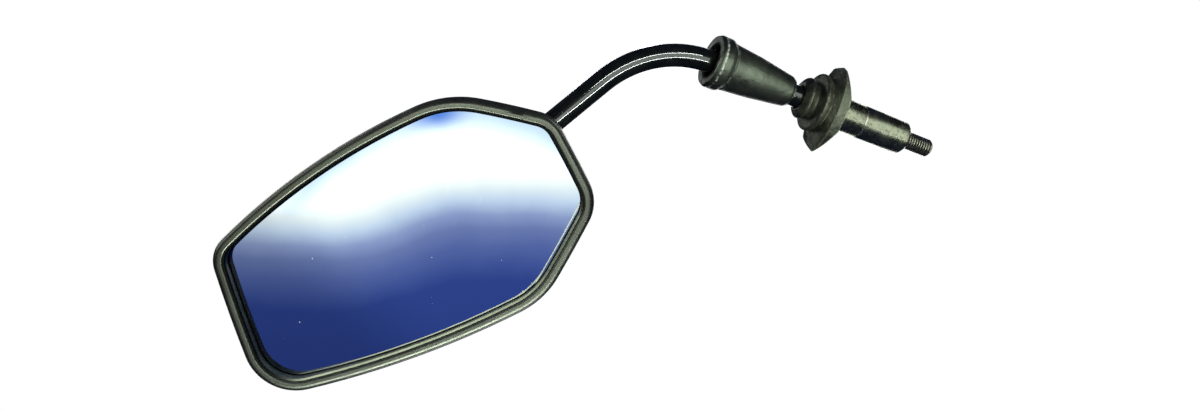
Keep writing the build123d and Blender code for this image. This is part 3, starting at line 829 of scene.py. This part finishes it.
def plainSheet(name, width, height):
    mesh = bmesh.new()
    bmesh.ops.create_grid(mesh, x_segments=1, y_segments=1, size=0.5)
    bmesh.ops.scale(mesh, vec=(width, height, 1.0), verts=mesh.verts)
    data = bpy.data.meshes.new(name)
    mesh.to_mesh(data)
    mesh.free()
    sheet = addObject(name, data)
    return sheet


# a sheet that only shows as a reflection
def reflectedSheet(name, place, right, up, width, height):
    sheet = plainSheet(name, width, height)
    sheet.matrix_world = placedAxes(place, right, up, right.cross(up))
    sheet.visible_camera = False
    sheet.visible_diffuse = False
    sheet.visible_shadow = False
    return sheet


def stageMaterial(name):
    material = bpy.data.materials.new(name)
    material.use_nodes = True
    tree = material.node_tree
    tree.nodes.clear()
    return material, tree, tree.nodes.new("ShaderNodeOutputMaterial").inputs["Surface"]


def seenRays(tree):
    rays = addNode(tree, "ShaderNodeLightPath").outputs
    both = mathNode(tree, "MAXIMUM", rays["Is Camera Ray"], rays["Is Glossy Ray"])
    return mathNode(tree, "MAXIMUM", both, rays["Is Transmission Ray"])


# pale floor: white to the eye, soft bounce for the rest
floorSetup = {"size": 30.0, "drop": 1.45, "tone": rgb(0.82, 0.82, 0.81),
              "glow": {"Color": rgb(1, 1, 1), "Strength": 0.975}}


def makeFloor(setup):
    floor = plainSheet("floor", setup["size"], setup["size"])
    floor.location = (0, 0, -setup["drop"])
    material, tree, surface = stageMaterial("paleFloor")
    matt = addNode(tree, "ShaderNodeBsdfDiffuse", {"Color": setup["tone"]}).outputs[0]
    glow = addNode(tree, "ShaderNodeEmission", setup["glow"]).outputs[0]
    lit = addNode(tree, "ShaderNodeAddShader", {0: matt, 1: glow}).outputs[0]
    mixed = addNode(tree, "ShaderNodeMixShader", {0: seenRays(tree), 1: matt, 2: lit}).outputs[0]
    tree.links.new(mixed, surface)
    floor.data.materials.append(material)


makeFloor(floorSetup)


# card that the glass reflects: a pale sky and a bright window over a deep blue room
cardSetup = {
    "place": (-0.4065, -1.1373, 0.4910), "right": (0.34745, -0.31899, -0.88177),
    "up": (0.90456, -0.13375, 0.40482), "size": (1.0, 0.84), "strength": 2.2,
    "rise": (-0.15, 0.14), "level": (-0.010, 0.058), "reach": (-0.30, 0.06),
    "wander": (-0.025, 0.025), "wanderScale": 4.0, "wanderDetail": 3.0,
    "skyCrown": 0.243, "skyMiddle": 0.14, "skyBow": 1.55, "skyBand": (-0.050, 0.006),
    "skySide": (-0.27, -0.15), "sky": rgb(0.55, 0.59, 0.455),
    "patchBand": (-0.042, -0.004), "patchMiddle": 0.086, "patchWidth": 0.085,
    "patch": rgb(0.085, 0.185, 0.37), "dusk": (-0.10, -0.36), "duskDim": 0.7,
    "stops": ((0.0, (0.020, 0.034, 0.105)), (0.38, (0.023, 0.039, 0.118)),
              (0.47, (0.045, 0.064, 0.145)), (0.57, (0.077, 0.095, 0.173)),
              (0.67, (0.127, 0.145, 0.205)), (0.75, (0.236, 0.25, 0.282)),
              (0.833, (0.486, 0.50, 0.41)), (0.93, (0.795, 0.727, 0.468)),
              (1.0, (1.0, 0.95, 0.75))),
}


# the room's tones from the floor to the window, along a slightly wandering level
def roomTones(tree, setup, place, parts):
    level = mapRange(tree, parts["X"], *setup["rise"], *setup["level"])
    noise = noiseNode(tree, place, setup["wanderScale"], setup["wanderDetail"])
    wander = mapRange(tree, noise, 0.0, 1.0, *setup["wander"], False)
    height = mathNode(tree, "ADD", mathNode(tree, "SUBTRACT", parts["Y"], level), wander)
    share = mapRange(tree, height, *setup["reach"], 0.0, 1.0, False)
    ramp = addNode(tree, "ShaderNodeValToRGB", {"Fac": share})
    steps = ramp.color_ramp.elements
    readySteps = len(steps)
    for index, (spot, tone) in enumerate(setup["stops"]):
        step = steps[index] if index < readySteps else steps.new(spot)
        step.position = spot
        step.color = rgb(*tone)
    return ramp.outputs["Color"]


def makeCard(setup):
    right = Vector(setup["right"])
    up = Vector(setup["up"])
    card = reflectedSheet("reflectedCard", setup["place"], right, up, *setup["size"])
    material, tree, surface = stageMaterial("roomAndWindow")
    place = objectCoords(tree)
    parts = splitCoords(tree, place)
    colour = roomTones(tree, setup, place, parts)
    aside = mathNode(tree, "SUBTRACT", parts["X"], setup["skyMiddle"])
    drop = times(tree, times(tree, aside, aside), setup["skyBow"])
    above = mathNode(tree, "ADD", mathNode(tree, "SUBTRACT", parts["Y"], setup["skyCrown"]), drop)
    pale = times(tree, mapRange(tree, above, *setup["skyBand"]),
                 mapRange(tree, parts["X"], *setup["skySide"]))
    colour = mixColour(tree, pale, colour, setup["sky"])
    off = offLevel(tree, parts["X"], setup["patchMiddle"])
    patch = times(tree, mapRange(tree, above, *setup["patchBand"]),
                  mapRange(tree, off, setup["patchWidth"], 0.0))
    colour = mixColour(tree, patch, colour, setup["patch"])
    corner = mathNode(tree, "ADD", parts["X"], parts["Y"])
    dusk = mapRange(tree, corner, *setup["dusk"], 1.0, setup["duskDim"])
    inputs = {"Color": colour, "Strength": times(tree, dusk, setup["strength"])}
    tree.links.new(addNode(tree, "ShaderNodeEmission", inputs).outputs[0], surface)
    card.data.materials.append(material)


makeCard(cardSetup)


# dark flags round the object, deep blue over and under it, keep the gloss edges dark
flagSetup = {"half": 0.95, "front": 1.45, "dark": rgb(0.003, 0.004, 0.009),
             "navy": rgb(0.008, 0.013, 0.045)}


def fromCamera(right, up, back):
    return middle + across * right + upward * up + towards * back


def flagMaterial(name, tone):
    material, tree, surface = stageMaterial(name)
    glow = addNode(tree, "ShaderNodeEmission", {"Color": tone, "Strength": 1.0})
    tree.links.new(glow.outputs[0], surface)
    return material


def makeFlags(setup):
    dark = flagMaterial("darkFlag", setup["dark"])
    navy = flagMaterial("navyFlag", setup["navy"])
    half = setup["half"]
    front = setup["front"]
    centre = (front - half) / 2
    width = 2 * half
    depth = half + front
    flags = {
        "flagBehind": (dark, fromCamera(0, 0, -half), across, upward, width, width),
        "flagBefore": (dark, fromCamera(0, 0, front), across, upward, width, width),
        "flagLeft": (dark, fromCamera(-half, 0, centre), towards, upward, depth, width),
        "flagRight": (dark, fromCamera(half, 0, centre), towards, upward, depth, width),
        "flagOver": (navy, fromCamera(0, half, centre), across, towards, width, depth),
        "flagUnder": (navy, fromCamera(0, -half, centre), across, towards, width, depth),
    }
    for name, (material, *spot) in flags.items():
        reflectedSheet(name, *spot).data.materials.append(material)


makeFlags(flagSetup)


# white surround, soft ambient
worldSetup = {"white": rgb(1, 1, 1), "ambient": rgb(0.055, 0.065, 0.10)}


def makeWorld(setup):
    world = bpy.data.worlds.new("studio")
    bpy.context.scene.world = world
    world.use_nodes = True
    tree = world.node_tree
    tree.nodes.clear()
    colour = mixColour(tree, seenRays(tree), setup["ambient"], setup["white"])
    back = addNode(tree, "ShaderNodeBackground", {"Color": colour, "Strength": 1.0})
    out = tree.nodes.new("ShaderNodeOutputWorld")
    tree.links.new(back.outputs[0], out.inputs["Surface"])


makeWorld(worldSetup)
bpy.context.scene.view_settings.view_transform = "Standard"
print("stage set")
